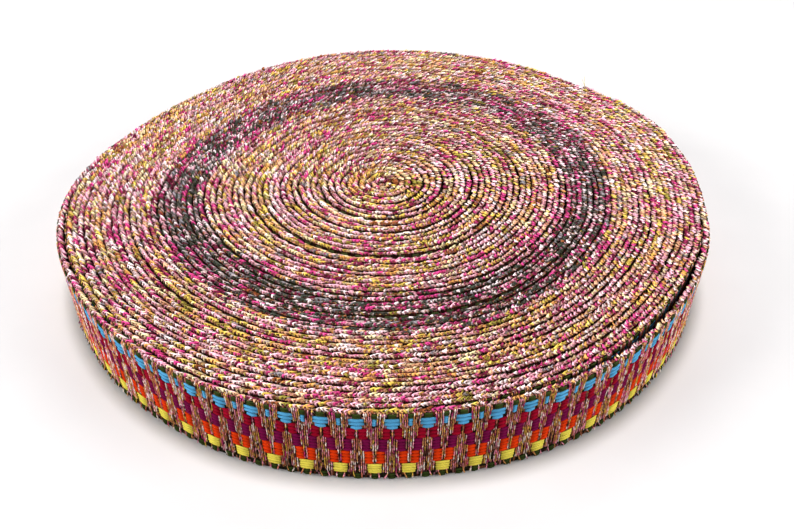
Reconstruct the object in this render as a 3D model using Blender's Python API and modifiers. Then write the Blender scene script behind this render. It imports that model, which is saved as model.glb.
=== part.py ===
"""A flat roll of woven ribbon lying on its side, wound to a closed eye, with its outermost turn loose.

Metres, +Z up. The origin is at the eye of the roll, on the surface that the roll rests on.
Seen from above the ribbon winds outward counter-clockwise. Angles run from +X towards +Y, and places
along the outermost turn are told in degrees back from the ribbon's tail end.
"""
import math
from collections import namedtuple

import bmesh
import bpy
import numpy as np

RIBBON_WIDTH = 0.022
ROLL_RADIUS = 0.0895
TURN_PITCH = 0.0016
CLEARANCE = 0.0003
RIBBON_THICKNESS = TURN_PITCH - CLEARANCE
TAIL_ANGLE = math.radians(42.0)

# The wound turns are gathered into broad coils, each standing for three turns of the ribbon.
COILS = 18
STEPS_PER_TURN = 72
EYE_RADIUS = 0.0014
EYE_DEPTH = 0.0012
COIL_SECTION = (0.0, 0.3, 0.7, 1.0)
COIL_GROOVE = 0.0006
UNEVEN_FALL_OFF = 1.2
WELD_DISTANCE = 0.000005
SHARP_ANGLE = math.radians(50.0)

EDGES_COLOUR = (0.60, 0.33, 0.28)
EDGES_ROUGHNESS = 0.85
FACE_COLOUR = (0.30, 0.10, 0.08)
FACE_ROUGHNESS = 0.8

# The outermost turn: how far its outer face lies from the nominal circle, and the gap beneath it.
TurnRow = namedtuple("TurnRow", "back_deg outline_mm gap_mm")
OUTER_TURN = (
    TurnRow(0, 6.3, 0.2),
    TurnRow(5, 6.1, 0.1),
    TurnRow(9, 7.2, 0.5),
    TurnRow(14, 7.6, 0.6),
    TurnRow(20, 7.5, 0.4),
    TurnRow(27, 6.0, 0.2),
    TurnRow(34, 4.9, 0.1),
    TurnRow(42, 3.3, 0.0),
    TurnRow(50, 2.3, 0.1),
    TurnRow(58, 2.0, 0.4),
    TurnRow(66, 1.2, 1.0),
    TurnRow(75, 0.4, 1.4),
    TurnRow(84, -0.2, 1.4),
    TurnRow(93, -0.6, 1.1),
    TurnRow(102, -1.0, 0.7),
    TurnRow(112, -1.7, 0.4),
    TurnRow(124, -2.5, 0.1),
    TurnRow(138, -2.4, 0.0),
    TurnRow(152, -1.6, 0.1),
    TurnRow(166, -1.5, 0.2),
    TurnRow(178, -0.9, 0.3),
    TurnRow(190, -0.3, 0.5),
    TurnRow(202, 0.6, 0.6),
    TurnRow(212, 0.8, 0.4),
    TurnRow(222, -0.2, 0.2),
    TurnRow(230, -1.9, 0.1),
    TurnRow(240, -4.0, 0.0),
    TurnRow(252, -5.1, 0.0),
    TurnRow(264, -4.7, 0.0),
    TurnRow(276, -2.6, 0.0),
    TurnRow(288, -0.8, 0.0),
    TurnRow(300, 1.7, 0.0),
    TurnRow(312, 3.0, 0.0),
    TurnRow(326, 4.5, 0.0),
    TurnRow(340, 5.3, 0.0),
    TurnRow(350, 5.3, 0.0),
)

# The deeper creases between neighbouring coils on the top face, each deepest where it faces. A crease
# follows its turn, so its radius is the one that the turn would have in an even spiral.
CreaseRow = namedtuple("CreaseRow", "radius_mm half_width_mm drop_mm facing_deg spread_deg")
CREASES = (
    CreaseRow(20.6, 2.2, 0.8, -90, 400),
    CreaseRow(38.8, 2.2, 0.7, -90, 110),
    CreaseRow(45.8, 2.2, 0.8, 90, 90),
    CreaseRow(63.4, 2.4, 1.2, -90, 100),
    CreaseRow(65.9, 2.4, 1.2, 90, 80),
    CreaseRow(79.3, 2.4, 0.4, -90, 120),
)


def smooth_through(x, row_x, row_y):
    """A cubic through the rows, whose slope at each row comes from its neighbours."""
    slope = np.gradient(row_y, row_x)
    i = np.clip(np.searchsorted(row_x, x, side="right") - 1, 0, len(row_x) - 2)
    span = row_x[i + 1] - row_x[i]
    s = (x - row_x[i]) / span
    start = (1 + 2 * s) * (1 - s) ** 2 * row_y[i] + s * (1 - s) ** 2 * span * slope[i]
    end = s ** 2 * (3 - 2 * s) * row_y[i + 1] - s ** 2 * (1 - s) * span * slope[i + 1]
    return start + end


def turn_columns():
    """The outermost turn's rows as columns in metres, with its root flush with the turn under the tail."""
    back = [row.back_deg for row in OUTER_TURN]
    outline = [row.outline_mm / 1000 for row in OUTER_TURN]
    gap = [row.gap_mm / 1000 for row in OUTER_TURN]
    back.append(360.0)
    outline.append(outline[0] - gap[0] - TURN_PITCH)
    gap.append(0.0)
    return np.array(back, dtype=float), np.array(outline), np.array(gap)


BACK_DEG, OUTLINE, GAP = turn_columns()


def outer_turn(back_deg):
    """Outline and gap of the outermost turn, in metres."""
    outline = smooth_through(back_deg, BACK_DEG, OUTLINE)
    gap = np.maximum(smooth_through(back_deg, BACK_DEG, GAP), 0.0)
    return outline, gap


def wall_radius(back_deg):
    """Radius of the wound roll's own wall, under the outermost turn."""
    outline, gap = outer_turn(back_deg)
    return ROLL_RADIUS + outline - gap - TURN_PITCH


def even_radius(step):
    """Radius that a step along the winding would have in an even spiral from the eye to the wall's root."""
    return EYE_RADIUS + (wall_radius(360.0) - EYE_RADIUS) * step / (COILS * STEPS_PER_TURN)


def coil_edge(step):
    """Inner radius of the coils at a step along the winding; it takes on the wall's unevenness outward."""
    root = wall_radius(360.0)
    tail = wall_radius(0.0)
    back_deg = 360.0 - 360.0 * (step % STEPS_PER_TURN) / STEPS_PER_TURN
    uneven = wall_radius(back_deg) - (tail + (root - tail) * back_deg / 360.0)
    return even_radius(step) + uneven * (even_radius(step) / root) ** UNEVEN_FALL_OFF


def coil_bounds(step):
    """Inner and outer radius of the coil at a step; the last coil's outer radius is the wall."""
    last_turn = (COILS - 1) * STEPS_PER_TURN
    if step <= last_turn:
        return coil_edge(step), coil_edge(step + STEPS_PER_TURN)
    back_deg = 360.0 - 360.0 * (step - last_turn) / STEPS_PER_TURN
    return coil_edge(step), wall_radius(back_deg)


def groove_depth(even, angle):
    """Depth of the groove between two coils, deeper near a crease, at an even spiral's radius."""
    depth = COIL_GROOVE
    for row in CREASES:
        across = (even * 1000 - row.radius_mm) / row.half_width_mm
        turned = math.degrees(angle) - row.facing_deg
        along = ((turned + 180.0) % 360.0 - 180.0) / row.spread_deg
        depth += row.drop_mm / 1000 * math.exp(-across ** 2 - along ** 2)
    return depth


def add_material(name, colour, roughness):
    material = bpy.data.materials.new(name)
    material.use_nodes = True
    shader = material.node_tree.nodes["Principled BSDF"]
    shader.inputs["Base Color"].default_value = (*colour, 1.0)
    shader.inputs["Roughness"].default_value = roughness
    shader.inputs["Metallic"].default_value = 0.0
    material.diffuse_color = (*colour, 1.0)
    return material


def add_object(name, form, material, collection):
    mesh = bpy.data.meshes.new(name)
    form.to_mesh(mesh)
    form.free()
    mesh.materials.append(material)
    node = bpy.data.objects.new(name, mesh)
    collection.objects.link(node)
    return node


def build_wound_roll(collection):
    """A flat strip wound into a spiral of coils, welded turn to turn, with its rim drawn down to the base."""
    form = bmesh.new()
    steps = COILS * STEPS_PER_TURN
    bands = len(COIL_SECTION) - 1
    bmesh.ops.create_grid(form, x_segments=steps, y_segments=bands, size=1.0)
    for vert in form.verts:
        step = round((vert.co.x + 1.0) / 2.0 * steps)
        band = round((vert.co.y + 1.0) / 2.0 * bands)
        inner, outer = coil_bounds(step)
        radius = inner + COIL_SECTION[band] * (outer - inner)
        angle = TAIL_ANGLE + math.tau * step / STEPS_PER_TURN
        on_crest = 0 < band < bands
        even = even_radius(step + STEPS_PER_TURN * COIL_SECTION[band])
        height = RIBBON_WIDTH if on_crest else RIBBON_WIDTH - groove_depth(even, angle)
        vert.co = (radius * math.cos(angle), radius * math.sin(angle), height)
    bmesh.ops.remove_doubles(form, verts=form.verts, dist=WELD_DISTANCE)

    def at_rim(edge):
        middle = (edge.verts[0].co + edge.verts[1].co) / 2
        return math.hypot(middle.x, middle.y) > ROLL_RADIUS / 2

    open_edges = [edge for edge in form.edges if edge.is_boundary]
    rim = [edge for edge in open_edges if at_rim(edge)]
    eye = [edge for edge in open_edges if not at_rim(edge)]
    eye_face = bmesh.ops.contextual_create(form, geom=eye)["faces"]
    poked = bmesh.ops.poke(form, faces=eye_face)
    for vert in poked["verts"]:
        vert.co = (0.0, 0.0, RIBBON_WIDTH - EYE_DEPTH)

    drawn = bmesh.ops.extrude_edge_only(form, edges=rim)["geom"]
    for vert in (item for item in drawn if isinstance(item, bmesh.types.BMVert)):
        vert.co.z = 0.0
    base = [item for item in drawn if isinstance(item, bmesh.types.BMEdge) and item.is_boundary]
    bmesh.ops.contextual_create(form, geom=base)
    bmesh.ops.recalc_face_normals(form, faces=form.faces)

    finish = add_material("woven_ribbon_edges", EDGES_COLOUR, EDGES_ROUGHNESS)
    roll = add_object("wound_roll", form, finish, collection)
    roll.data.set_sharp_from_angle(angle=SHARP_ANGLE)


def build_loose_end(collection):
    """The outermost turn as an upright strip standing on the base, from the step of the roll to the tail."""
    form = bmesh.new()
    bmesh.ops.create_grid(form, x_segments=STEPS_PER_TURN, y_segments=1, size=1.0)
    root_gap_deg = math.degrees(CLEARANCE / ROLL_RADIUS)
    for vert in form.verts:
        back_deg = 180.0 - 180.0 * vert.co.x
        back_deg = min(back_deg, 360.0 - root_gap_deg)
        angle = TAIL_ANGLE - math.radians(back_deg)
        outline, _ = outer_turn(back_deg)
        radius = ROLL_RADIUS + outline
        height = RIBBON_WIDTH * (vert.co.y + 1.0) / 2.0
        vert.co = (radius * math.cos(angle), radius * math.sin(angle), height)

    finish = add_material("woven_ribbon_face", FACE_COLOUR, FACE_ROUGHNESS)
    strip = add_object("loose_end", form, finish, collection)
    for face in strip.data.polygons:
        face.use_smooth = True
    thickness = strip.modifiers.new("ribbon thickness", "SOLIDIFY")
    thickness.thickness = RIBBON_THICKNESS
    thickness.offset = -1.0


def main():
    for old in list(bpy.data.objects):
        bpy.data.objects.remove(old, do_unlink=True)
    collection = bpy.data.collections.new("ribbon_roll")
    bpy.context.scene.collection.children.link(collection)
    build_wound_roll(collection)
    build_loose_end(collection)


main()
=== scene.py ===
"""Looks of a flat roll of jacquard ribbon lying on its side, with its outermost turn loose.

Every turn of the ribbon is there. Its upper edge is a rope of space-dyed weft loops, and its face,
seen on the outermost turn, carries stepped blocks of coloured warp cords between melange weft strands.

Metres, +Z up. A place on the ribbon is told by its turn (0 at the eye, TURNS at the tail end), its depth
below the upper edge and its lift off the cloth's face. Lengths along the ribbon follow its outer face.
"""

import math
from collections import namedtuple

import bpy
import numpy as np
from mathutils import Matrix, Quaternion, Vector


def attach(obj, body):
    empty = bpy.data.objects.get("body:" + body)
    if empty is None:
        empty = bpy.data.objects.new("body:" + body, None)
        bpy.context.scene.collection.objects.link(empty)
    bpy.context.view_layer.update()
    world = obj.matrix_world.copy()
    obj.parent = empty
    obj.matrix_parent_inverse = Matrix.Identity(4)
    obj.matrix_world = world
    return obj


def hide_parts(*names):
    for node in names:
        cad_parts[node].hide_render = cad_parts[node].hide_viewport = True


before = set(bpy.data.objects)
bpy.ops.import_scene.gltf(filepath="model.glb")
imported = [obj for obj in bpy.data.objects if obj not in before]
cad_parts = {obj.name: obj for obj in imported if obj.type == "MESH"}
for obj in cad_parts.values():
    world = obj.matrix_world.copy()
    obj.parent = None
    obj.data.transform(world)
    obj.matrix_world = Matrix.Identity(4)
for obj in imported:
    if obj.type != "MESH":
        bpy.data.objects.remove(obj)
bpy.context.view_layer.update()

MM = 0.001


def table(columns, *rows):
    """Rows of values, with a name for each column."""
    row_kind = namedtuple("Row", columns)
    return tuple(row_kind(*row) for row in rows)


# Sizes shared with the solids
RIBBON_WIDTH = 22.0 * MM
ROLL_RADIUS = 89.5 * MM
TURN_PITCH = 1.6 * MM
TAIL_ANGLE = math.radians(42.0)
EYE_RADIUS = 1.3 * MM
UNEVEN_FALL_OFF = 1.2
TURNS = 55
# How much wider apart than the mean the turns lie near the eye, and closer near the wall
INNER_SLACK = 0.1
# How far the eye is sunk, and how wide
EYE_DIP = 0.9 * MM
EYE_DIP_RADIUS = 3.5 * MM

# The outermost turn, in degrees back from the tail end: where its outer face lies and the gap beneath it
OUTER_TURN = table(
    "back_deg outline_mm gap_mm",
    (0, 6.3, 0.2),
    (5, 6.1, 0.1),
    (9, 7.2, 0.5),
    (14, 7.6, 0.6),
    (20, 7.5, 0.4),
    (27, 6.0, 0.2),
    (34, 4.9, 0.1),
    (42, 3.3, 0.0),
    (50, 2.3, 0.1),
    (58, 2.0, 0.4),
    (66, 1.2, 1.0),
    (75, 0.4, 1.4),
    (84, -0.2, 1.4),
    (93, -0.6, 1.1),
    (102, -1.0, 0.7),
    (112, -1.7, 0.4),
    (124, -2.5, 0.1),
    (138, -2.4, 0.0),
    (152, -1.6, 0.1),
    (166, -1.5, 0.2),
    (178, -0.9, 0.3),
    (190, -0.3, 0.5),
    (202, 0.6, 0.6),
    (212, 0.8, 0.4),
    (222, -0.2, 0.2),
    (230, -1.9, 0.1),
    (240, -4.0, 0.0),
    (252, -5.1, 0.0),
    (264, -4.7, 0.0),
    (276, -2.6, 0.0),
    (288, -0.8, 0.0),
    (300, 1.7, 0.0),
    (312, 3.0, 0.0),
    (326, 4.5, 0.0),
    (340, 5.3, 0.0),
    (350, 5.3, 0.0),
)

# Creases of the top face: turns that sink and stand a little apart, most where the crease faces. A crease
# follows its turn, so its radius is the one that the turn would have in an even spiral.
CREASES = table(
    "radius_mm half_width_mm drop_mm facing_deg spread_deg",
    (20.6, 0.9, 0.8, -90, 400),
    (38.8, 0.8, 0.7, -90, 70),
    (45.1, 0.8, 0.8, 90, 70),
    (61.5, 5.0, 0.8, -110, 60),
    (62.9, 0.8, 1.0, -90, 80),
    (64.6, 0.8, 0.5, -90, 80),
    (65.4, 0.9, 1.2, 90, 65),
    (79.3, 0.8, 0.5, -90, 80),
)

# Slow waves along the winding: the turns' unevenness across it and in height
WAVES_ACROSS = table("period_turns height_mm", (0.83, 0.05), (2.6, 0.08), (7.3, 0.16))
WAVES_IN_HEIGHT = table("period_turns height_mm", (0.61, 0.05), (1.93, 0.1), (5.1, 0.12))

# The ribbon's cloth, rounded, with its crown under the loops and swollen inward by the weft packed there
CLOTH_THICKNESS = 0.85 * MM
CLOTH_ROUNDING = 0.25 * MM
CLOTH_BELOW_TOP = 0.42 * MM
CLOTH_OFF_FLOOR = 0.02 * MM
PACKED_DEPTH = 0.45 * MM
PACKED_BELOW_CROWN = 0.35 * MM
PACKED_MARGIN = 1.6 * MM

# The yarn that lies on the cloth's face and round its edge
FLOAT_RISE = 0.3 * MM
PICK_PITCH = 0.97 * MM
PLY_HALF_WIDTH = 0.25 * MM
PLY_HALF_HEIGHT = 0.2 * MM
LOOP_INSET = 0.74 * MM
# A ply of weft round the edge, from its inner foot to its outer one: how far out from the crest, how far
# on along the ribbon and how far down, its painted shade (over one, a painted highlight on the crest), its
# share of the margin's dark colour (dark ground and painted shade of the gap), and its thickness
PLY_COLUMNS = "out_mm on_mm down_mm shade margin thick"
PROUD_PLY = table(
    PLY_COLUMNS,
    (-1.08, 0.7, 0.52, 1.0, 0.0, 0.95),
    (-0.6, 0.2, 0.16, 1.0, 0.0, 1.1),
    (-0.1, -0.45, 0.0, 1.08, 0.0, 1.1),
    (0.2, -0.1, 0.2, 0.85, 0.15, 1.0),
    (0.34, 0.2, 0.8, 1.0, 1.0, 0.0),
)
TUCKED_PLY = table(
    PLY_COLUMNS,
    (-1.0, 1.0, 0.56, 1.0, 0.0, 0.95),
    (-0.4, 0.3, 0.2, 0.9, 0.0, 1.05),
    (0.08, 0.4, 0.42, 0.6, 0.5, 0.8),
    (0.32, 0.6, 0.9, 1.0, 1.0, 0.0),
)
# The two plies of a pick, and the share of each that keeps the dye of its run
PLY_KINDS = table("name rows keep", ("proud", PROUD_PLY, 0.65), ("tucked", TUCKED_PLY, 0.4))
# Rows further in than this are a ply's inner half
INNER_HALF_MM = -0.1
# Scatter of the picks and their plies: standard deviations of their places, and of their sizes as a share
PICK_SCATTER_ACROSS = 0.07 * MM
PICK_SCATTER_HEIGHT = 0.09 * MM
PLY_SCATTER = 0.08 * MM
PLY_SCATTER_ALONG = 0.12 * MM
SIZE_SCATTER = 0.2
THICKNESS_LIMITS = (0.5, 1.5)
# Some inner feet stop short and others lean on the turn inside, in more shade or less
REACH_LIMITS = (0.8, 1.15)
FOOT_SHADE_LIMITS = (0.3, 1.0)
# A pick's tone as a logarithm, and limits of the light left on a ply
TONE_SHIFT = -0.04
TONE_SCATTER = 0.16
LIGHT_LIMITS = (0.3, 1.2)
# The loops' own drift across the edge and in height, and how far apart it changes
DRIFT_SPACING = 1.7 * MM
DRIFT_ACROSS = 0.09 * MM
DRIFT_HEIGHT = 0.07 * MM
# A loop either leans outward and stands high or leans inward and lies low
SWING_ACROSS = 0.1 * MM
SWING_HEIGHT = 0.06 * MM
# The inner turns lie looser, so their loops are this much fuller at the eye, and less so up to a turn
INNER_FULLNESS = 0.1
FULLER_UP_TO = 30.0
# The turns stand open towards the front, in runs of this many picks. There the loops draw in by this
# share and sink by this depth inside; elsewhere the margin's dark colour, part dark ground and part painted
# shade of the gap between turns, has only this share on them.
FRONT_FACING = math.radians(-90.0)
OPEN_RUN = 14.0
DRAWN_IN = 0.36
SUNK_IN_FRONT = 0.14 * MM
MARGIN_ELSEWHERE = 0.75
# At the back the turns are pressed close: a loop loses up to this share of its light there, and its inner
# half this share of its span
SHADED_AT_BACK = 0.4
SHORTENED_AT_BACK = 0.25
# How far down a loop lies when its colour has lost about two thirds of its light, which green and blue
# lose faster than red by these powers
DIMMING_DEPTH = 0.5 * MM
DIMMING_POWERS = np.array([0.86, 1.08, 1.2])

# The woven repeat of the face, from the ribbon's upper edge down; x is told from the blue block
REPEAT = 7.56 * MM
BLUE_BLOCK_ANGLE = math.radians(-87.74)
# The squares of green warp in the upper margin, two to a repeat: half sizes, depth, and the share of them
# that comes up to the crest in the dark stretch
SQUARE_HALF_WIDTH = 0.85 * MM
SQUARE_HALF_HEIGHT = 0.7 * MM
SQUARE_DEPTH = 1.0 * MM
SQUARES_ON_CREST = 0.8
SQUARE_HEX = "#4A5632"
SQUARE_YARN_HEX = "#56643A"
CREST_SQUARE_HEX = "#4C5448"
# The loops' outer feet take this dark colour: the margin's dark ground, deepened as painted shade of the gap
# between turns
MARGIN_AND_SHADE_HEX = "#30120A"
BLOCKS = table(
    "yarn x_mm width_mm top_mm height_mm cords last_part",
    ("moss", 0.0, 1.7, 0.35, 1.35, 2, 1.0),
    ("moss", 3.78, 1.5, 0.35, 1.35, 2, 1.0),
    ("sky", 0.0, 3.45, 1.75, 3.1, 3, 0.7),
    ("sky", 3.78, 0.95, 1.85, 2.4, 3, 1.0),
    ("crimson", -1.38, 2.0, 4.75, 3.6, 3, 1.0),
    ("crimson", 1.38, 2.0, 4.75, 3.6, 3, 1.0),
    ("plum", -2.0, 2.1, 8.35, 4.05, 4, 1.0),
    ("plum", 2.0, 2.1, 8.35, 4.05, 4, 1.0),
    ("orange", 2.5, 1.98, 12.4, 4.3, 4, 1.0),
    ("orange", 5.06, 1.98, 12.4, 4.3, 4, 1.0),
    ("yellow", 3.78, 3.3, 16.8, 3.3, 4, 0.92),
    ("moss", 0.0, 1.7, 20.2, 1.7, 2, 1.0),
    ("moss", 3.78, 1.5, 20.3, 1.6, 2, 1.0),
)
# A cord of a block from one end to the other: where along it, its swell, and its tone, which is painted shade
# darkening the tucked ends, with a slight painted highlight at the middle
CORD = table(
    "along swell tone",
    (-0.5, 0.0, 0.7),
    (-0.46, 0.85, 0.95),
    (0.0, 1.0, 1.03),
    (0.46, 0.85, 0.95),
    (0.5, 0.0, 0.7),
)
CORD_HEIGHT_SHARE = 0.57
CORD_HALF_DEPTH = 0.17 * MM
CORD_LIFT = 0.02 * MM
CORD_ARCH = 0.13 * MM
# The cords bend most at a depth of the face, by a cosine along the repeat and a bell down the face
BEND = 0.28 * MM
BEND_AT_MM = 4.7
BEND_SPREAD_MM = 2.2
CORD_PITCH_MM = 1.1
# Towards the lower edge the cords stand off, and the strands end in small feet that turn aside
LOW_FROM = 20.0 * MM
CORD_FLARE = 0.2 * MM
CORD_FLARE_OVER = 1.8 * MM
FOOT_OVER = 1.6 * MM
FOOT_ASIDE_MM = 0.9
FOOT_LIFT = 0.6 * MM
# Melange strands of the repeat; each stands on both sides of its column, and once where its offset is 0
STRANDS = table(
    "column_mm offset_mm top_mm end_mm",
    (3.78, 0.25, 4.3, 16.5),
    (3.78, 0.72, 0.0, 12.1),
    (3.78, 1.2, 0.0, 8.1),
    (3.78, 1.62, 0.0, 8.0),
    (3.78, 2.03, 0.0, 4.6),
    (0.0, 0.0, 4.9, 16.8),
    (0.0, 0.48, 7.9, 20.1),
    (0.0, 0.95, 8.2, 21.7),
    (0.0, 1.38, 12.0, 20.3),
    (0.0, 1.82, 16.3, 20.2),
    (3.78, 0.95, 19.7, 21.7),
)
STRAND_HALF_WIDTH = 0.19 * MM
STRAND_STEP = 0.56 * MM
STRAND_LIFT = 0.18 * MM
STRAND_ROOT = 0.03 * MM
STRAND_LIMITS = (-0.05 * MM, RIBBON_WIDTH - 0.15 * MM)
STRAND_RUN = 1.7
STRAND_FLATNESS = 0.9
# The strands splay at the upper edge, by this share of their offset and down to this depth
SPLAY = 0.1
SPLAY_DEPTH = 2.0 * MM

# Where the face of the turn under the outermost one shows in the gap, in degrees back from the tail
GLIMPSED = ((5.0, 28.0), (54.0, 122.0), (170.0, 220.0))
GLIMPSED_DEPTH = 5.0 * MM

# The frayed ends at the tail, each from a depth below the upper edge
THREADS = table(
    "depth_mm reach_mm lean_mm hex",
    (0.9, 4.4, 1.1, "#F1E6A8"),
    (2.4, 3.2, 2.2, "#E9DDDF"),
    (0.4, 2.4, 1.9, "#E8C76A"),
)
THREAD_HALF_WIDTH = 0.1 * MM
THREAD_TAPER = (0.0, 1.0, 1.0, 1.0, 0.9, 0.8, 0.7, 0.6, 0.0)

# The dark stretch of the space-dyed yarn, in turns from the eye
DARK_FROM = 30.0
DARK_TO = 38.3
DARK_END_SCATTER = 0.4


def smooth_through(x, row_x, row_y):
    """A cubic through the rows, whose slope at each row comes from its neighbours."""
    slope = np.gradient(row_y, row_x)
    i = np.clip(np.searchsorted(row_x, x, side="right") - 1, 0, len(row_x) - 2)
    span = row_x[i + 1] - row_x[i]
    s = (x - row_x[i]) / span
    start = (1 + 2 * s) * (1 - s) ** 2 * row_y[i] + s * (1 - s) ** 2 * span * slope[i]
    end = s ** 2 * (3 - 2 * s) * row_y[i + 1] - s ** 2 * (1 - s) * span * slope[i + 1]
    return start + end


def turn_columns():
    """The outermost turn's rows as columns in metres, with its root flush with the turn under the tail."""
    back = [row.back_deg for row in OUTER_TURN]
    outline = [row.outline_mm * MM for row in OUTER_TURN]
    gap = [row.gap_mm * MM for row in OUTER_TURN]
    back.append(360.0)
    outline.append(outline[0] - gap[0] - TURN_PITCH)
    gap.append(0.0)
    return np.array(back, dtype=float), np.array(outline), np.array(gap)


BACK_DEG, OUTLINE, GAP = turn_columns()


def outer_radius(back_deg):
    """Radius of the outermost turn's outer face."""
    return ROLL_RADIUS + smooth_through(back_deg, BACK_DEG, OUTLINE)


def wall_radius(back_deg):
    """Radius of the wound roll's own wall, under the outermost turn."""
    gap = np.maximum(smooth_through(back_deg, BACK_DEG, GAP), 0.0)
    return outer_radius(back_deg) - gap - TURN_PITCH


WALL_ROOT = float(wall_radius(np.array(360.0)))
WALL_TAIL = float(wall_radius(np.array(0.0)))


def turn_angle(turn):
    """The angle from +X at a turn: a full circle for each turn, with the tail end at its own angle."""
    return TAIL_ANGLE + math.tau * turn


def even_radius(turn):
    """Radius of a turn in an even spiral, a little looser near the eye: a straight rise plus a low arch."""
    part = np.clip(turn / (TURNS - 2), 0.0, 1.0)
    return EYE_RADIUS + (WALL_ROOT - EYE_RADIUS) * part * (1.0 + INNER_SLACK * (1.0 - part))


def crease_pull(turn):
    """How far the creases lower a turn at a place: a bell across each crease times a bell round it."""
    drop = np.zeros(np.shape(turn))
    for row in CREASES:
        across = (even_radius(turn) / MM - row.radius_mm) / row.half_width_mm
        turned = np.degrees(turn_angle(turn)) - row.facing_deg
        along = ((turned + 180.0) % 360.0 - 180.0) / row.spread_deg
        drop += row.drop_mm * MM * np.exp(-across ** 2 - along ** 2)
    return drop


def waves(turn, rows, seed):
    """A sum of sine waves along the winding, one for each row, each from a random start."""
    rng = np.random.default_rng(seed)
    total = np.zeros_like(turn)
    for row in rows:
        total += row.height_mm * MM * np.sin(math.tau * (turn / row.period_turns + rng.random()))
    return total


def face_radius(turn):
    """Radius of the ribbon's outer face: an even spiral that takes on the wall's unevenness outward.

    Slow waves are added to it, and fade out at the eye and at the wall. The last turn but one is the
    wall, and the last is the outermost turn.
    """
    turn = np.asarray(turn, dtype=float)
    part = np.where(turn >= TURNS, 1.0, turn % 1.0)
    back_deg = 360.0 * (1.0 - part)
    even = even_radius(turn)
    uneven = wall_radius(back_deg) - (WALL_TAIL + (WALL_ROOT - WALL_TAIL) * back_deg / 360.0)
    shift = waves(turn, WAVES_ACROSS, seed=4)
    calm = np.clip((TURNS - 2 - turn) / 3.0, 0.0, 1.0) * np.clip(turn / 3.0, 0.0, 1.0)
    inside = even + uneven * (even / WALL_ROOT) ** UNEVEN_FALL_OFF + shift * calm
    wall = wall_radius(back_deg)
    outer = outer_radius(back_deg)
    return np.where(turn >= TURNS - 1, outer, np.where(turn >= TURNS - 2, wall, inside))


def top_height(turn):
    """Height of the ribbon's upper edge: its width and slow waves, less the creases and a bell at the eye."""
    radius = face_radius(turn)
    rise = waves(turn, WAVES_IN_HEIGHT, seed=9)
    calm = np.clip((TURNS - 1 - turn) / 1.5, 0.25, 1.0)
    eye_dip = EYE_DIP * np.exp(-(radius / EYE_DIP_RADIUS) ** 2)
    return RIBBON_WIDTH + rise * calm - crease_pull(turn) - eye_dip


# Turns and the lengths that go with them, close enough to be read between by straight lines
FINE_TURNS = np.linspace(0.0, TURNS, 20 * 360 + 1)
FINE_RADIUS = face_radius(FINE_TURNS)
FINE_LENGTH = np.concatenate(([0.0], np.cumsum(
    math.tau * np.diff(FINE_TURNS) * (FINE_RADIUS[1:] + FINE_RADIUS[:-1]) / 2.0)))


def turn_at(length):
    """The turn at a length along the ribbon from the eye."""
    return np.interp(length, FINE_LENGTH, FINE_TURNS)


def length_at(turn):
    """The length along the ribbon from the eye to a turn."""
    return np.interp(turn, FINE_TURNS, FINE_LENGTH)


def on_ribbon(turn, radius, height):
    """Points at a turn's angle, a radius and a height."""
    angle = turn_angle(turn)
    return np.stack([radius * np.cos(angle), radius * np.sin(angle), height + 0.0 * angle], axis=-1)


def unit(vectors):
    """The vectors at length one."""
    return vectors / np.maximum(np.linalg.norm(vectors, axis=-1, keepdims=True), 1e-12)


def linear(hex_colour):
    """An sRGB hex colour as linear red, green and blue."""
    value = np.array([int(hex_colour[i:i + 2], 16) for i in (1, 3, 5)]) / 255.0
    return np.where(value <= 0.04045, value / 12.92, ((value + 0.055) / 1.055) ** 2.4)


def add_mesh(name, points, faces, materials, smooth=True):
    """A mesh object at the origin from points and a list of face arrays, each with its own corner count."""
    mesh = bpy.data.meshes.new(name)
    corners = np.concatenate([group.ravel() for group in faces])
    counts = np.concatenate([np.full(len(group), group.shape[1]) for group in faces])
    starts = np.concatenate(([0], np.cumsum(counts)[:-1]))
    mesh.vertices.add(len(points))
    mesh.vertices.foreach_set("co", points.astype(np.float32).ravel())
    mesh.loops.add(len(corners))
    mesh.loops.foreach_set("vertex_index", corners.astype(np.int32))
    mesh.polygons.add(len(counts))
    mesh.polygons.foreach_set("loop_start", starts.astype(np.int32))
    mesh.update(calc_edges=True)
    mesh.validate()
    mesh.polygons.foreach_set("use_smooth", np.full(len(counts), smooth))
    for material in materials:
        mesh.materials.append(material)
    piece = bpy.data.objects.new(name, mesh)
    bpy.context.scene.collection.objects.link(piece)
    return piece


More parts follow.
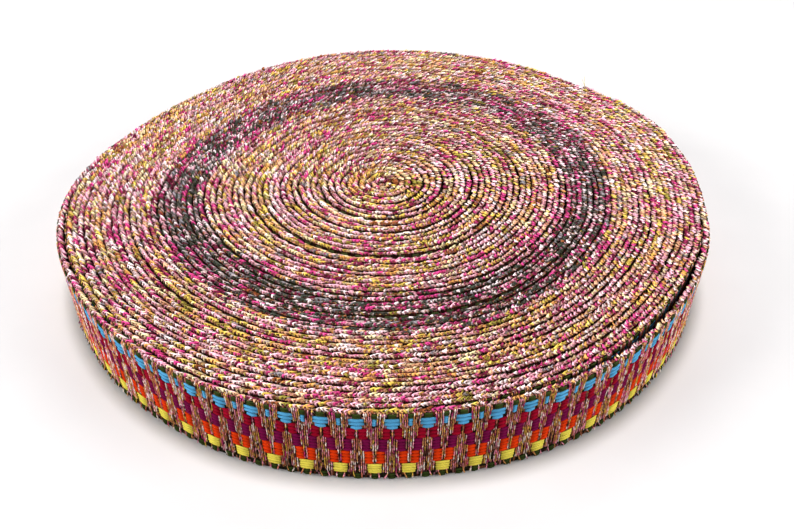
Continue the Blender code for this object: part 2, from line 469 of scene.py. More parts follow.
def add_tubes(name, path, normal, half_width, half_height, colours, material, sides=4, blunt_start=False):
    """Many slim closed tubes in one mesh.

    path holds the centre points of each tube, from its first tip to its last. Round each point but the
    tips lies a ring: centre plus the across vector times half_width times the cosine, plus the rise
    vector times half_height times the sine, where rise is the normal made square to the path and the
    first corner is on top. Each tip closes its end ring with triangles. A blunt start has a ring at the
    first point too, closed by one flat face.
    """
    count, steps = path.shape[:2]
    forward = unit(np.gradient(path, axis=1))
    across = unit(np.cross(normal, forward))
    rise = np.cross(forward, across)
    width = (half_width[..., None] * across)[:, :, None]
    height = (half_height[..., None] * rise)[:, :, None]
    corner = np.arange(sides)
    round_angle = math.pi / 2 + math.tau * corner[:, None] / sides
    rings = path[:, :, None] + width * np.cos(round_angle) + height * np.sin(round_angle)
    lead = 0 if blunt_start else 1
    rings = rings[:, lead:-1]
    ring_count = steps - 1 - lead
    per_tube = lead + sides * ring_count + 1
    tube_points = np.concatenate([path[:, :lead], rings.reshape(count, -1, 3), path[:, -1:]], axis=1)
    base = per_tube * np.arange(count)[:, None, None]
    after = (corner + 1) % sides
    ring = lead + sides * np.arange(ring_count - 1)[:, None]
    quads = np.stack([ring + corner, ring + after, ring + sides + after, ring + sides + corner], axis=-1)
    quads = (base + quads.reshape(1, -1, 4)).reshape(-1, 4)
    last = lead + sides * (ring_count - 1)
    last_tip = np.stack([0 * corner + per_tube - 1, last + corner, last + after], axis=-1)
    first_tip = np.stack([0 * corner, 1 + after, 1 + corner], axis=-1)
    tips = last_tip if blunt_start else np.concatenate([first_tip, last_tip])
    faces = [quads, (base + tips[None]).reshape(-1, 3)]
    if blunt_start:
        faces.append(base[:, :, 0] + corner[None, ::-1])
    piece = add_mesh(name, tube_points.reshape(-1, 3), faces, [material])
    ring_colours = np.repeat(colours[:, lead:-1], sides, axis=1)
    tube_colours = np.concatenate([colours[:, :lead], ring_colours, colours[:, -1:]], axis=1)
    paint(piece, tube_colours.reshape(-1, 3))
    return piece


def paint(piece, colours):
    """Stores linear colours on the piece's points, for its material to read."""
    layer = piece.data.color_attributes.new("yarn_colour", "FLOAT_COLOR", "POINT")
    rgba = np.ones((len(colours), 4), dtype=np.float32)
    rgba[:, :3] = colours
    layer.data.foreach_set("color", rgba.ravel())


def node(tree, kind, settings=None, **links):
    """Adds a node of a kind, sets its properties, and sets or links its inputs by name."""
    made = tree.nodes.new(kind)
    for name, value in (settings or {}).items():
        setattr(made, name, value)
    for name, value in links.items():
        socket = made.inputs[int(name[1:])] if name[1:].isdigit() else made.inputs[name.replace("_", " ")]
        if isinstance(value, bpy.types.NodeSocket):
            tree.links.new(value, socket)
        else:
            socket.default_value = value
    return made


def new_material(name):
    """A material and its empty tree."""
    material = bpy.data.materials.new(name)
    material.use_nodes = True
    material.node_tree.nodes.clear()
    return material, material.node_tree


def add_surface(tree, **inputs):
    """The Principled shader with its inputs set or linked by name, and the output that it feeds."""
    shader = node(tree, "ShaderNodeBsdfPrincipled", **inputs)
    node(tree, "ShaderNodeOutputMaterial", Surface=shader.outputs["BSDF"])
    return shader


def compute(tree, kind, operation, *values):
    """The result of a Math or VectorMath node that works on the values."""
    inputs = {f"_{k}": value for k, value in enumerate(values)}
    return node(tree, f"ShaderNode{kind}", {"operation": operation}, **inputs).outputs[0]


def rgba(hex_colour):
    """An sRGB hex colour as linear red, green, blue and a full alpha."""
    return (*linear(hex_colour), 1.0)


def yarn_material(name, roughness, gloss, fleck_mm, fleck_depth, bump_mm):
    """Dyed yarn: the colour stored on the points, mottled by fine fibres, with a matt fuzzy surface."""
    material, tree = new_material(name)
    place = node(tree, "ShaderNodeTexCoord").outputs["Object"]
    fibres = node(tree, "ShaderNodeTexNoise", Vector=place, Scale=1.0 / (fleck_mm * MM), Detail=3.0,
                  Roughness=0.6).outputs["Fac"]
    shade = node(tree, "ShaderNodeMapRange", Value=fibres, From_Min=0.3, From_Max=0.7,
                 To_Min=1.0 - fleck_depth, To_Max=1.0 + fleck_depth / 2).outputs["Result"]
    dye = node(tree, "ShaderNodeAttribute", {"attribute_name": "yarn_colour"}).outputs["Color"]
    mottled = node(tree, "ShaderNodeVectorMath", {"operation": "SCALE"}, _0=dye, Scale=shade)
    bump = node(tree, "ShaderNodeBump", Height=fibres, Distance=bump_mm * MM, Strength=0.6)
    add_surface(tree, Base_Color=mottled.outputs["Vector"], Normal=bump.outputs["Normal"],
                Roughness=roughness, Specular_IOR_Level=gloss)
    return material


def space_dyed_weft():
    # Space-dyed acrylic weft: soft, matt, its colour changing every few loops.
    return yarn_material("space_dyed_weft_yarn", roughness=0.75, gloss=0.2, fleck_mm=0.25, fleck_depth=0.6,
                         bump_mm=0.06)


def soft_cotton_warp():
    # Soft cotton warp cords laid side by side: clean strong colour, matt, with a fine fibre mottle.
    return yarn_material("soft_cotton_warp_cord", roughness=0.8, gloss=0.06, fleck_mm=0.18, fleck_depth=0.2,
                         bump_mm=0.02)


def hold_colours(tree, pick, hexes):
    """A ramp of steps, one for each colour, read by a number from 0 to 1."""
    dyes = node(tree, "ShaderNodeValToRGB", Fac=pick)
    ramp = dyes.color_ramp
    ramp.interpolation = "CONSTANT"
    while len(ramp.elements) < len(hexes):
        ramp.elements.new(0.5)
    for k, colour in enumerate(hexes):
        ramp.elements[k].position = k / len(hexes)
        ramp.elements[k].color = rgba(colour)
    return dyes.outputs["Color"]


def ground_weave(name, hexes, stitch_mm, bump_mm, edge_shade):
    """Woven ground in the ribbon's own map: stitches of one colour each, with painted shade darkening
    them to their edges.

    The map is scaled to stitches. Its whole part picks the stitch's colour, and a parabola of its broken
    part gives the rise across the stitch, used for the bump and for the painted shade at the edges,
    darkened down to the given edge factor.
    """
    material, tree = new_material(name)
    place = node(tree, "ShaderNodeUVMap", {"uv_map": "along_round"}).outputs["UV"]
    across, along = stitch_mm
    per_metre = (1.0 / (across * MM), 1.0 / (along * MM), 1.0)
    stitch = compute(tree, "VectorMath", "MULTIPLY", place, per_metre)
    whole = compute(tree, "VectorMath", "FLOOR", stitch)
    broken = compute(tree, "VectorMath", "FRACTION", stitch)
    pick = node(tree, "ShaderNodeTexWhiteNoise", {"noise_dimensions": "2D"}, Vector=whole).outputs["Value"]
    side = node(tree, "ShaderNodeSeparateXYZ", Vector=broken).outputs["X"]
    rest = compute(tree, "Math", "SUBTRACT", 1.0, side)
    arch = compute(tree, "Math", "MULTIPLY", side, rest)
    # painted shade: each stitch darkens towards its edges
    shade = node(tree, "ShaderNodeMapRange", Value=arch, From_Max=0.2, To_Min=edge_shade).outputs["Result"]
    dye = hold_colours(tree, pick, hexes)
    toned = node(tree, "ShaderNodeVectorMath", {"operation": "SCALE"}, _0=dye, Scale=shade).outputs["Vector"]
    bump = node(tree, "ShaderNodeBump", Height=arch, Distance=bump_mm * MM, Strength=0.8)
    shader = add_surface(tree, Base_Color=toned, Normal=bump.outputs["Normal"], Roughness=0.9,
                         Specular_IOR_Level=0.08)
    return material, tree, shader, place, toned


def squared_ground(name, hexes):
    """The face's ground weave, with the squares of green warp that line its upper edge.

    The length along the ribbon, in half repeats, has its broken part set against one half, and the depth
    against that of the squares. Where both lie within the squares' half sizes, the green takes over.
    """
    woven = ground_weave(name, hexes, stitch_mm=(0.48, 0.9), bump_mm=0.5, edge_shade=0.15)
    material, tree, shader, place, toned = woven
    half = REPEAT / 2
    squares = compute(tree, "VectorMath", "MULTIPLY_ADD", place, (1.0 / half, 1.0, 1.0),
                      (0.5 - REPEAT_PHASE / half, 0.0, 0.0))
    parts = node(tree, "ShaderNodeSeparateXYZ", Vector=squares)
    turned = compute(tree, "Math", "FRACT", parts.outputs["X"])
    in_width = compute(tree, "Math", "COMPARE", turned, 0.5, SQUARE_HALF_WIDTH / half)
    in_depth = compute(tree, "Math", "COMPARE", parts.outputs["Y"], -SQUARE_DEPTH, SQUARE_HALF_HEIGHT)
    inside = compute(tree, "Math", "MULTIPLY", in_width, in_depth)
    mixed = node(tree, "ShaderNodeMix", {"data_type": "RGBA"}, Factor=inside, _6=toned, _7=rgba(SQUARE_HEX))
    tree.links.new(mixed.outputs[2], shader.inputs["Base Color"])
    return material


def face_ground():
    # The face between its blocks: dark green cotton ground with melange weft showing.
    return squared_ground("dark_green_ground_weave", (
        "#1C160C", "#8A5A38", "#2A2410", "#B07A6A", "#241A10", "#33201A", "#A8707E", "#30301A", "#6A3A22"))


def margin_weave():
    # The face's upper margin on the wound turns, the dark red-brown line seen between two rows of loops: the
    # face's ground, darkened as painted shade of the gap between turns.
    return squared_ground("margin_weave_in_painted_shade", (
        "#24100A", "#38180E", "#2A140C", "#4A2418", "#30160E", "#22180E", "#3E1A18"))


def cloth_back():
    # The back of the weave, where the weft lies as dull rosy and tan floats over the unused warps.
    hexes = ("#8A5A50", "#B08068", "#6A403A", "#A8707A", "#7C5A3C", "#5A3430")
    return ground_weave("mixed_float_weave_back", hexes, stitch_mm=(0.472, 1.6), bump_mm=0.4, edge_shade=0.4)[0]


def packed_weft():
    # Weft yarn packed into the ribbon's edge under its loops: small shaded stitches of the loops' colours.
    hexes = ("#B06068", "#84483C", "#D09A84", "#7A4434", "#CC8A9C", "#9A6040", "#D4AC70", "#E2C4BC")
    return ground_weave("packed_weft_yarn_edge", hexes, stitch_mm=(0.472, 0.5), bump_mm=0.3, edge_shade=0.4)[0]


def pale_floor_finish():
    # Smooth matt white paper, with a mottle that is almost too faint to see.
    material, tree = new_material("matt_white_paper")
    place = node(tree, "ShaderNodeTexCoord").outputs["Object"]
    grain = node(tree, "ShaderNodeTexNoise", Vector=place, Scale=60.0, Detail=2.0).outputs["Fac"]
    tone = node(tree, "ShaderNodeMix", {"data_type": "RGBA"}, Factor=grain, _6=rgba("#CDCCCC"),
                _7=rgba("#D1D0D0"))
    add_surface(tree, Base_Color=tone.outputs[2], Roughness=0.9, Specular_IOR_Level=0.1)
    return material


def place_piece(piece):
    """Puts a piece on the part's one body."""
    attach(piece, "root")
    return piece


def ribbon_body(name, turns, packed, materials):
    """The ribbon's cloth: an upright rounded slab section carried along the turns, closed at both ends.

    The section goes up the outer face, over the upper edge, down the inner face and back under the
    lower edge, at set distances in from the face and up from the base. Behind its crown the weft packed
    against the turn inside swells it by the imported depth. Its map holds the length along the ribbon and
    the way round the section, which is nought at the upper outer edge.
    """
    bend = CLOTH_ROUNDING
    face = face_radius(turns) - FLOAT_RISE
    back = face - CLOTH_THICKNESS
    top = top_height(turns) - CLOTH_BELOW_TOP
    low = np.full_like(turns, CLOTH_OFF_FLOOR)
    on_crown = np.zeros_like(turns)
    # radius, height and way round of each corner of the section
    section = (
        (face, low + bend / 2, low - top),
        (face, top - bend, on_crown - bend),
        (face - bend, top, on_crown + bend / 2),
        (back + bend, top, on_crown + CLOTH_THICKNESS - bend),
        (back - packed, top - PACKED_BELOW_CROWN, on_crown + CLOTH_THICKNESS + packed),
        (back, top - PACKED_MARGIN, on_crown + CLOTH_THICKNESS + PACKED_MARGIN),
        (back, low + bend, CLOTH_THICKNESS + top - low),
        (back + bend, low, CLOTH_THICKNESS + top - low + bend),
        (face - bend, low, low - top - bend),
    )
    columns = len(section)
    points = np.stack([on_ribbon(turns, radius, height) for radius, height, _ in section], axis=1)
    steps = len(turns)
    step = columns * np.arange(steps - 1)[:, None]
    corner = np.arange(columns)
    after = (corner + 1) % columns
    quads = np.stack([step + corner, step + columns + corner, step + columns + after, step + after], axis=-1)
    last = columns * (steps - 1)
    ends = np.stack([corner, last + corner[::-1]])
    piece = add_mesh(name, points.reshape(-1, 3), [quads.reshape(-1, 4), ends], materials)
    # the second finish is the weave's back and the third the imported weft
    inner_face, crown_and_margin = 5, slice(2, 5)
    sides = np.zeros((steps - 1, columns), dtype=np.int32)
    sides[:, inner_face] = 1
    sides[:, crown_and_margin] = 2
    finish = np.concatenate([sides.ravel(), np.zeros(len(ends), dtype=np.int32)])
    piece.data.polygons.foreach_set("material_index", finish)
    along = np.repeat(length_at(turns)[:, None], columns, axis=1)
    way_round = np.stack([distance for _, _, distance in section], axis=1)
    corners = np.zeros(len(piece.data.loops), dtype=np.int32)
    piece.data.loops.foreach_get("vertex_index", corners)
    uv = np.stack([along.ravel()[corners], way_round.ravel()[corners]], axis=-1)
    piece.data.uv_layers.new(name="along_round").data.foreach_set("uv", uv.astype(np.float32).ravel())
    return piece


def winding_steps(first, last, sag):
    """Turns between two ends, spaced so that a chord lies no more than the sag inside its arc."""
    fine = np.linspace(first, last, 8000)
    radius = np.maximum(face_radius(fine), EYE_RADIUS)
    per_turn = math.tau / np.sqrt(8.0 * sag / radius)
    steps = np.concatenate(([0.0], np.cumsum(np.diff(fine) * (per_turn[1:] + per_turn[:-1]) / 2.0)))
    count = int(math.ceil(steps[-1]))
    return np.interp(np.linspace(0.0, steps[-1], count + 1), steps, fine)


# Yarn colours of the top edge, with their share in each mood of the space-dyed yarn
YARNS = table(
    "hex rosy mixed golden charcoal magenta",
    ("#FFECEC", 21, 18, 12, 20, 20),
    ("#FCEBBE", 8, 12, 15, 0, 0),
    ("#FAC0CE", 28, 20, 12, 8, 18),
    ("#E25498", 17, 13, 7, 8, 32),
    ("#FAC6A0", 8, 10, 13, 0, 0),
    ("#F3BA70", 3, 6, 12, 0, 0),
    ("#EACF68", 3, 9, 15, 0, 0),
    ("#A89A48", 1, 3, 6, 2, 0),
    ("#9E969A", 2, 3, 1, 20, 6),
    ("#585A50", 0, 0, 0, 24, 6),
    ("#8E2850", 3, 3, 2, 8, 12),
    ("#A8643A", 1, 1, 3, 4, 2),
)
MOODS = ("rosy", "mixed", "golden", "charcoal", "magenta")
FIRST_DARK_MOOD = 3
# The mean runs of a mood and of a dye, in picks
MOOD_RUN = 35.0
DARK_MOOD_RUN = 8.0
DYE_RUN = 2.2
DYE_SCATTER = 0.12
# Where the second and third mood start on a scale from 0 to 1, and how far up it the inner turns lean
MOOD_STEPS = (0.36, 0.66)
GOLDEN_LEAN = 0.15
GOLDEN_UP_TO = 28.0
GOLDEN_FADE = 8.0
# A dark run is magenta where its random number plus its nearness to a border is more than this
MAGENTA_OVER = 0.9


def in_runs(rng, count, mean_run):
    """Numbers from 0 to 1, each held for a run of random length."""
    lengths = rng.geometric(1.0 / mean_run, size=count)
    return np.repeat(rng.random(count), lengths)[:count]


YARN_DYES = np.array([linear(row.hex) for row in YARNS])
MOOD_SHARES = np.array([[getattr(row, mood) for row in YARNS] for mood in MOODS], dtype=float)
MOOD_LADDER = np.cumsum(MOOD_SHARES / MOOD_SHARES.sum(axis=1, keepdims=True), axis=1)


def pick_moods(rng, turn):
    """The mood of the space-dyed yarn at each pick of the weft, held for long runs."""
    count = len(turn)
    # the inner turns are more golden
    golden_lean = GOLDEN_LEAN * np.clip((GOLDEN_UP_TO - turn) / GOLDEN_FADE, 0.0, 1.0)
    usual = np.digitize(in_runs(rng, count, MOOD_RUN) + golden_lean, MOOD_STEPS)
    # the dark stretch is magenta at its borders, and fades in and out over a turn or so
    to_border = np.abs(turn - (DARK_FROM + DARK_TO) / 2.0) / (DARK_TO - DARK_FROM)
    dark = FIRST_DARK_MOOD + (in_runs(rng, count, DARK_MOOD_RUN) + to_border > MAGENTA_OVER)
    reach = rng.normal(0.0, DARK_END_SCATTER, count)
    is_dark = (turn + reach > DARK_FROM) & (turn + reach < DARK_TO)
    return np.where(is_dark, dark, usual)


def ply_dyes(rng, mood, run, keep):
    """A dye for each ply: that of its run, for the share of plies that keep it, or any of its mood."""
    count = len(run)
    number = np.where(rng.random(count) < keep, run, rng.random(count))
    chosen = (number[:, None] > MOOD_LADDER[mood]).sum(axis=1).clip(0, len(YARNS) - 1)
    return YARN_DYES[chosen] * np.exp(rng.normal(0.0, DYE_SCATTER, (count, 1)))


def drift(rng, length, height):
    """A random drift along the ribbon: normal values at even spacing, joined by straight lines."""
    knots = np.arange(length.min() - DRIFT_SPACING, length.max() + 2.0 * DRIFT_SPACING, DRIFT_SPACING)
    return np.interp(length, knots, rng.normal(0.0, height, len(knots)))[:, None]


def edge_loops(name, first, last, material, seed):
    """The chain of weft loops along the ribbon's upper edge between two turns.

    Each pick of the weft turns over the edge as two plies, a proud one and one tucked behind it. A ply
    follows the rows of its table, an arrowhead from above: its middle lies on the crest and before its
    feet. It drops gently to the inner foot, and steeply to the outer one, which takes the face's dark
    margin colour, green in its squares; outside the squares that dark colour is partly painted shade of the
    gap between turns. Painted shade: the lower a ply lies, the darker and redder its colour, by a falling
    exponential for each of red, green and blue, and towards the back some loops are darkened at random. How
    much the turns stand open or press together goes by the cosine of the angle from the front.
    """
    rng = np.random.default_rng(seed)
    length = np.arange(length_at(first), length_at(last), PICK_PITCH)
    count = len(length)
    pick_turn = turn_at(length)
    mood = pick_moods(rng, pick_turn)
    run = in_runs(rng, count, DYE_RUN)
    swing = rng.choice((-1.0, 1.0), (count, 1))
    pick_aside = drift(rng, length, DRIFT_ACROSS) + rng.normal(0.0, PICK_SCATTER_ACROSS, (count, 1))
    pick_lowered = drift(rng, length, DRIFT_HEIGHT) + rng.normal(0.0, PICK_SCATTER_HEIGHT, (count, 1))
    pick_aside += SWING_ACROSS * swing
    pick_lowered -= SWING_HEIGHT * swing
    facing_front = np.cos(turn_angle(pick_turn) - FRONT_FACING)[:, None]
    facing_back = (-facing_front).clip(0.0, 1.0)
    opened = facing_front.clip(0.0, 1.0) * in_runs(rng, count, OPEN_RUN)[:, None] ** 2.0
    fuller = 1.0 + INNER_FULLNESS * np.clip(1.0 - pick_turn[:, None] / FULLER_UP_TO, 0.0, 1.0)
    reach = rng.uniform(*REACH_LIMITS, (count, 1)) * (1.0 - SHORTENED_AT_BACK * facing_back)
    tone = np.exp(rng.normal(TONE_SHIFT, TONE_SCATTER, (count, 1)))
    # painted shade: towards the back some loops are darkened by a random share
    tone *= 1.0 - SHADED_AT_BACK * facing_back * rng.random((count, 1))
    from_square = np.abs((length - REPEAT_PHASE + REPEAT / 4.0) % (REPEAT / 2.0) - REPEAT / 4.0)
    in_square = (from_square < SQUARE_HALF_WIDTH)[:, None]
    margin_and_shade_dye = np.where(in_square, linear(SQUARE_YARN_HEX), linear(MARGIN_AND_SHADE_HEX))[:, None, :]
    in_dark = mood[:, None] >= FIRST_DARK_MOOD
    squared = in_square & in_dark & (rng.random((count, 1)) < SQUARES_ON_CREST)
    for kind in PLY_KINDS:
        out, on, down, shade, margin, thick = np.array(kind.rows).T
        stretch = rng.normal(1.0, SIZE_SCATTER, (count, 1))
        jitter = rng.normal(0.0, PLY_SCATTER_ALONG, (count, len(kind.rows)))
        turn = turn_at(np.clip(length[:, None] + on * MM * stretch + jitter, 0.0, FINE_LENGTH[-1]))
        aside = pick_aside + rng.normal(0.0, PLY_SCATTER, (count, 1))
        inner = out < INNER_HALF_MM
        span = out * MM * np.where(inner, reach, 1.0) * (1.0 - DRAWN_IN * opened)
        radius = face_radius(turn) + fuller * (span - LOOP_INSET) + aside
        lowered = pick_lowered + rng.normal(0.0, PLY_SCATTER, (count, 1)) + SUNK_IN_FRONT * opened * inner
        path = on_ribbon(turn, radius, top_height(turn) - down * MM - lowered)
        swell = fuller * thick * rng.normal(1.0, SIZE_SCATTER, (count, 1)).clip(*THICKNESS_LIMITS)
        up = np.broadcast_to(np.array([0.0, 0.0, 1.0]), path.shape)
        # the inner half of a ply may have another dye than its outer half
        plain_dye = ply_dyes(rng, mood, run, kind.keep)
        outer_dye = np.where(squared, linear(CREST_SQUARE_HEX), plain_dye)[:, None, :]
        inner_dye = ply_dyes(rng, mood, run, kind.keep)[:, None, :]
        at_foot = np.arange(len(kind.rows)) == 0
        foot_shade = np.where(at_foot, rng.uniform(*FOOT_SHADE_LIMITS, (count, 1)), shade)
        # painted shade: a ply's colour darkens with its depth, at its inner foot at random and by its rows'
        # shade; over one, a painted highlight on the crest
        light_left = (tone * np.exp(-lowered / DIMMING_DEPTH)).clip(*LIGHT_LIMITS) * foot_shade
        yarn = np.where(inner[:, None], inner_dye, outer_dye) * light_left[:, :, None] ** DIMMING_POWERS
        margin_and_shade_share = margin * (MARGIN_ELSEWHERE + (1.0 - MARGIN_ELSEWHERE) * opened)
        colours = yarn + (margin_and_shade_dye - yarn) * margin_and_shade_share[:, :, None]
        piece = add_tubes(f"{kind.name}_{name}", path, up, PLY_HALF_WIDTH * swell, PLY_HALF_HEIGHT * swell,
                          colours, material, sides=3, blunt_start=True)
        place_piece(piece)


def face_points(length, depth, lift):
    """Points on the ribbon's face at a length along it, a depth below its upper edge and a lift off it."""
    turn = turn_at(length)
    radius = face_radius(turn) - FLOAT_RISE + lift
    return on_ribbon(turn, radius, RIBBON_WIDTH - depth)


def outward(points):
    """The level direction away from the roll's axis at each point."""
    flat = points.copy()
    flat[..., 2] = 0.0
    return unit(flat)


REPEAT_PHASE = float(length_at(TURNS + (BLUE_BLOCK_ANGLE - TAIL_ANGLE) / math.tau)) % REPEAT


def repeat_starts(stretches):
    """Lengths along the ribbon of the blue blocks in stretches from one turn to another."""
    starts = []
    for first, last in stretches:
        low = math.ceil((length_at(first) - REPEAT_PHASE) / REPEAT)
        high = math.floor((length_at(last) - REPEAT_PHASE) / REPEAT)
        starts.append(REPEAT_PHASE + REPEAT * np.arange(low, high + 1))
    return np.concatenate(starts)


FACE_YARNS = {
    "moss": "#3C4A20",
    "sky": "#5FA9D2",
    "crimson": "#98062A",
    "plum": "#780C48",
    "orange": "#D64008",
    "yellow": "#E2D45C",
}


def face_cords(name, stretches, depth_limit, material, seed):
    """The coloured blocks of the face: warp cords that lie side by side along the ribbon.

    Each cord is a short fat tube along the ribbon with blunt ends tucked into the cloth, arched by a
    cube of the way along, its colour darkened towards the tucked ends as painted shade. The last cord
    of a block is its width times last_part. The lower blue cords sag at the middle by a cosine along the
    repeat, and the crimson ones under them slope to match.
    """
    rng = np.random.default_rng(seed)
    starts = repeat_starts(stretches)
    t, swell, shade = np.array(CORD).T
    paths, heights, depths, colours = [], [], [], []
    for row in BLOCKS:
        if row.top_mm * MM > depth_limit:
            continue
        cord_height = row.height_mm / row.cords * MM
        for k in range(row.cords):
            count = len(starts)
            width = row.width_mm * MM * (row.last_part if k == row.cords - 1 else 1.0)
            x = row.x_mm * MM + rng.normal(0.0, 0.04 * MM, (count, 1)) + width * t
            depth = row.top_mm * MM + cord_height * (k + 0.5) + rng.normal(0.0, 0.02 * MM, (count, 1))
            from_bend = (row.top_mm + CORD_PITCH_MM * k - BEND_AT_MM) / BEND_SPREAD_MM
            bend = BEND * np.cos(math.tau * x / REPEAT) * math.exp(-from_bend ** 2)
            flare = CORD_FLARE * np.clip((depth - LOW_FROM) / CORD_FLARE_OVER, 0.0, 1.0)
            lift = CORD_LIFT + CORD_ARCH * (1.0 - (2.0 * np.abs(t)) ** 3) + flare
            paths.append(face_points(starts[:, None] + x, depth + bend, lift))
            taper = 1.0 + rng.normal(0.0, 0.04, (count, 1))
            heights.append(CORD_HEIGHT_SHARE * cord_height * swell * taper)
            depths.append(CORD_HALF_DEPTH * swell * taper)
            tone = linear(FACE_YARNS[row.yarn]) * np.exp(rng.normal(0.0, 0.05, (count, 1, 1)))
            # painted shade: the cord's colour darkens towards its tucked ends
            colours.append(tone * shade[None, :, None])
    path = np.concatenate(paths)
    piece = add_tubes(name, path, outward(path), np.concatenate(heights), np.concatenate(depths),
                      np.concatenate(colours), material, sides=5)
    return place_piece(piece)


# Melange yarns of the strands on the face, with their share
MELANGE = table(
    "hex share",
    ("#D2985E", 24),
    ("#C87860", 15),
    ("#E89AAC", 17),
    ("#F4E4DA", 18),
    ("#94705C", 4),
    ("#BE3C7C", 7),
    ("#DAB450", 9),
    ("#5A2C20", 6),
)


def face_strands(name, stretches, depth_limit, material, seed):
    """The melange weft strands on the face: slim tubes down the ribbon, wavering and lightly beaded."""
    rng = np.random.default_rng(seed)
    starts = repeat_starts(stretches)
    palette = np.array([linear(row.hex) for row in MELANGE])
    ladder = np.cumsum([row.share for row in MELANGE]) / sum(row.share for row in MELANGE)
    pieces = []
    for row in STRANDS:
        if row.top_mm * MM > depth_limit:
            continue
        for side in ((-1, 1) if row.offset_mm else (1,)):
            count = len(starts)
            end = min(row.end_mm * MM, depth_limit)
            steps = max(4, int(round((end - row.top_mm * MM) / STRAND_STEP))) + 2
            t = np.linspace(0.0, 1.0, steps)
            depth = row.top_mm * MM + (end - row.top_mm * MM) * t + rng.normal(0.0, 0.12 * MM, (count, 1))
            depth = depth.clip(*STRAND_LIMITS)
            low = np.clip((depth - LOW_FROM) / FOOT_OVER, 0.0, 1.0)
            aside = rng.uniform(0.0, FOOT_ASIDE_MM, (count, 1)) * MM * rng.choice((-1, 1, 1), (count, 1))
            splay = SPLAY * row.offset_mm * MM * np.clip((SPLAY_DEPTH - depth) / SPLAY_DEPTH, -0.4, 1.0)
            waver = rng.normal(0.0, 0.045 * MM, (count, 1)) + rng.normal(0.0, 0.03 * MM, (count, steps))
            x = row.column_mm * MM + side * (row.offset_mm * MM + splay) + waver + low ** 2 * aside
            dive = np.minimum(t, 1.0 - t) * (steps - 1)
            lift = STRAND_LIFT * np.clip(dive, 0.0, 1.0) - STRAND_ROOT + FOOT_LIFT * low ** 2
            path = face_points(starts[:, None] + x, depth, lift)
            beads = 0.2 * np.where(np.arange(steps) % 2, 1.0, -1.0)
            swell = 1.0 + beads + rng.normal(0.0, 0.1, (count, steps))
            thick = STRAND_HALF_WIDTH * swell * np.clip(dive, 0.0, 1.0)
            pick = in_runs(rng, count * steps, STRAND_RUN).reshape(count, steps)
            chosen = np.searchsorted(ladder, pick).clip(0, len(MELANGE) - 1)
            dye = palette[chosen] * np.exp(rng.normal(0.0, 0.16, (count, steps, 1)))
            pieces.append((path, thick, dye))
    made = []
    for steps in sorted({path.shape[1] for path, _, _ in pieces}):
        alike = [item for item in pieces if item[0].shape[1] == steps]
        path, thick, dye = (np.concatenate(arrays) for arrays in zip(*alike))
        made.append(add_tubes(f"{name}_{steps}", path, outward(path), thick, STRAND_FLATNESS * thick, dye,
                              material, sides=3))
    piece = join_pieces(name, made)
    return place_piece(piece)


def join_pieces(name, pieces):
    """One object from several that share a material."""
    with bpy.context.temp_override(active_object=pieces[0], selected_editable_objects=pieces):
        bpy.ops.object.join()
    pieces[0].name = name
    pieces[0].data.name = name
    return pieces[0]


def tail_threads(material):
    """The frayed ends at the tail's cut edge: fine tubes that rise straight and curl on and outward.

    The way on past the cut edge grows as the way up to the power 1.4, and the way outward as its square.
    """
    rng = np.random.default_rng(31)
    count, steps = len(THREADS), len(THREAD_TAPER)
    t = np.linspace(0.0, 1.0, steps)[None, :]
    start, reach, lean = np.array([row[:3] for row in THREADS]).T[:, :, None] * MM
    tail = float(face_radius(np.array(float(TURNS)))) - FLOAT_RISE
    angle = TAIL_ANGLE + (lean * t ** 1.4 + 0.2 * MM * t) / tail
    radius = tail - 0.4 * MM + 0.5 * MM * t ** 2 + rng.normal(0.0, 0.03 * MM, (count, steps))
    height = RIBBON_WIDTH - start + reach * t
    path = np.stack([radius * np.cos(angle), radius * np.sin(angle), height], axis=-1)
    thick = np.broadcast_to(THREAD_HALF_WIDTH * np.array(THREAD_TAPER), (count, steps))
    dyes = np.array([linear(row.hex) for row in THREADS])
    colours = np.repeat(dyes[:, None], steps, axis=1)
    piece = add_tubes("tail_threads", path, outward(path), thick, thick, colours, material)
    return place_piece(piece)


def add_floor():
    """A level square that the roll rests on, far wider than the view."""
    half = 1.5
    points = np.array([(-half, -half, 0.0), (half, -half, 0.0), (half, half, 0.0), (-half, half, 0.0)])
    floor = add_mesh("floor", points, [np.array([[0, 1, 2, 3]])], [pale_floor_finish()], smooth=False)


# Round lights that all shine on the origin, in metres and watts, and the surround's strength
LIGHTS = table(
    "name x y z diameter power hex",
    ("light_above", 0.0, 0.05, 1.15, 0.28, 8.4, "#FFFEFF"),
    ("light_behind", 0.0, 1.2, 0.8, 1.2, 6.0, "#FFFFFF"),
    ("light_at_the_left", -1.1, -0.3, 0.5, 0.8, 11.4, "#FFFFFF"),
    ("light_at_the_right", 1.1, -0.3, 0.5, 0.8, 9.4, "#FFFFFF"),
    ("light_in_front", 0.0, -1.1, 0.45, 0.8, 1.3, "#FFFFFF"),
)
SURROUND_STRENGTH = 0.14


def add_light():
    """A light above, broad lower ones behind and at both sides, a weak one in front, and a pale surround."""
    for row in LIGHTS:
        light = bpy.data.lights.new(row.name, "AREA")
        light.shape = "DISK"
        light.size = row.diameter
        light.energy = row.power
        light.color = tuple(linear(row.hex))
        lamp = bpy.data.objects.new(row.name, light)
        lamp.location = (row.x, row.y, row.z)
        lamp.rotation_euler = lamp.location.to_track_quat("Z", "Y").to_euler()
        bpy.context.scene.collection.objects.link(lamp)
    world = bpy.data.worlds.new("pale_surround")
    world.use_nodes = True
    background = world.node_tree.nodes["Background"]
    background.inputs["Color"].default_value = (1.0, 1.0, 1.0, 1.0)
    background.inputs["Strength"].default_value = SURROUND_STRENGTH
    bpy.context.scene.world = world


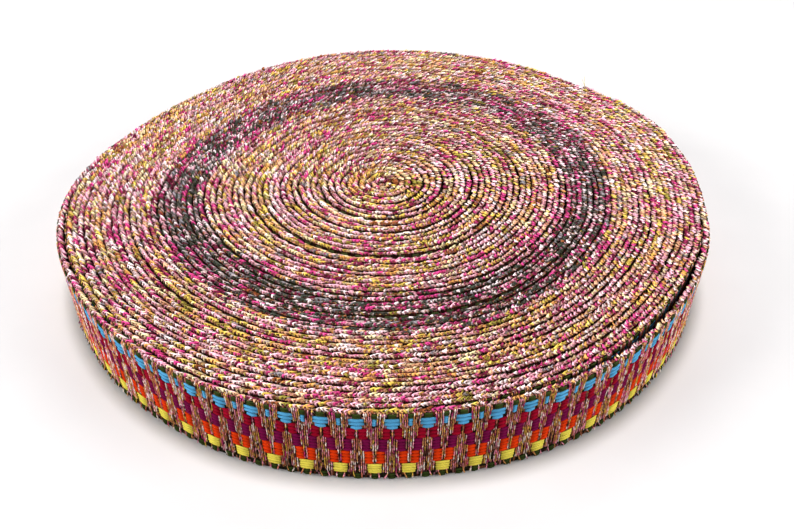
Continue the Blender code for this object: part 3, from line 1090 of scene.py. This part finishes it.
def set_camera_response():
    """The photograph's tones: plain colours, a little brighter and with somewhat more contrast.

    A gamma under one darkens the middle tones, which the exposure lifts again.
    """
    view = bpy.context.scene.view_settings
    view.view_transform = "Standard"
    view.exposure = 0.3
    view.gamma = 0.87


# The view: the photograph's focal length and width in pixels, and the camera's place and turns
FOCAL_PX = 780.0
IMAGE_WIDTH_PX = 794.0
SENSOR_MM = 36.0
CAMERA_PLACE = (3.05 * MM, -191.7 * MM, 147.0 * MM)
CAMERA_YAW = math.radians(0.42)
CAMERA_PITCH = math.radians(39.14)
CAMERA_ROLL = math.radians(0.96)


def add_camera():
    """A camera at the photograph's place, looking down at the pitch, turned by the yaw and the roll."""
    data = bpy.data.cameras.new("camera")
    data.sensor_width = SENSOR_MM
    data.lens = SENSOR_MM * FOCAL_PX / IMAGE_WIDTH_PX
    data.clip_start = 10.0 * MM
    camera = bpy.data.objects.new("camera", data)
    camera.location = CAMERA_PLACE
    level, sideways = Vector((0.0, 0.0, 1.0)), Vector((1.0, 0.0, 0.0))
    turned = Quaternion(level, -CAMERA_YAW) @ Quaternion(sideways, math.pi / 2 - CAMERA_PITCH)
    camera.rotation_euler = (turned @ Quaternion(level, CAMERA_ROLL)).to_euler()
    bpy.context.scene.collection.objects.link(camera)
    bpy.context.scene.camera = camera


def dress_roll():
    """The wound ribbon and its outermost turn, dressed, and what shows of the next face."""
    weft = space_dyed_weft()
    warp = soft_cotton_warp()
    back, packed = cloth_back(), packed_weft()
    wound_cloth = [margin_weave(), back, packed]
    wound_steps = winding_steps(0.0, TURNS - 1.0, sag=0.07 * MM)
    wound = ribbon_body("wound_ribbon", wound_steps, packed=PACKED_DEPTH, materials=wound_cloth)
    place_piece(wound)
    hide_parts("wound_roll")

    outer_cloth = [face_ground(), back, packed]
    # it starts just past the wall's end, where the radius steps out
    just_past = 0.0006
    outer_steps = winding_steps(TURNS - 1.0 + just_past, float(TURNS), sag=0.01 * MM)
    outer = ribbon_body("outer_turn", outer_steps, packed=0.0, materials=outer_cloth)
    place_piece(outer)
    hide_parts("loose_end")

    # four stretches, to keep each piece under its limit of triangles
    bounds = (0.6, 29.5, 41.5, 49.0, float(TURNS))
    for k in range(len(bounds) - 1):
        edge_loops(f"edge_loops_{k + 1}", bounds[k], bounds[k + 1], weft, seed=11 + k)

    whole = [(TURNS - 1.0, float(TURNS))]
    cords = face_cords("face_cords", whole, RIBBON_WIDTH, warp, seed=21)
    strands = face_strands("face_strands", whole, RIBBON_WIDTH, weft, seed=22)
    glimpsed = [(TURNS - 1 - far / 360.0, TURNS - 1 - near / 360.0) for near, far in GLIMPSED]
    face_cords("inner_face_cords", glimpsed, GLIMPSED_DEPTH, warp, seed=23)
    face_strands("inner_face_strands", glimpsed, GLIMPSED_DEPTH, weft, seed=24)
    threads = tail_threads(weft)


add_camera()
set_camera_response()
add_light()
add_floor()
dress_roll()
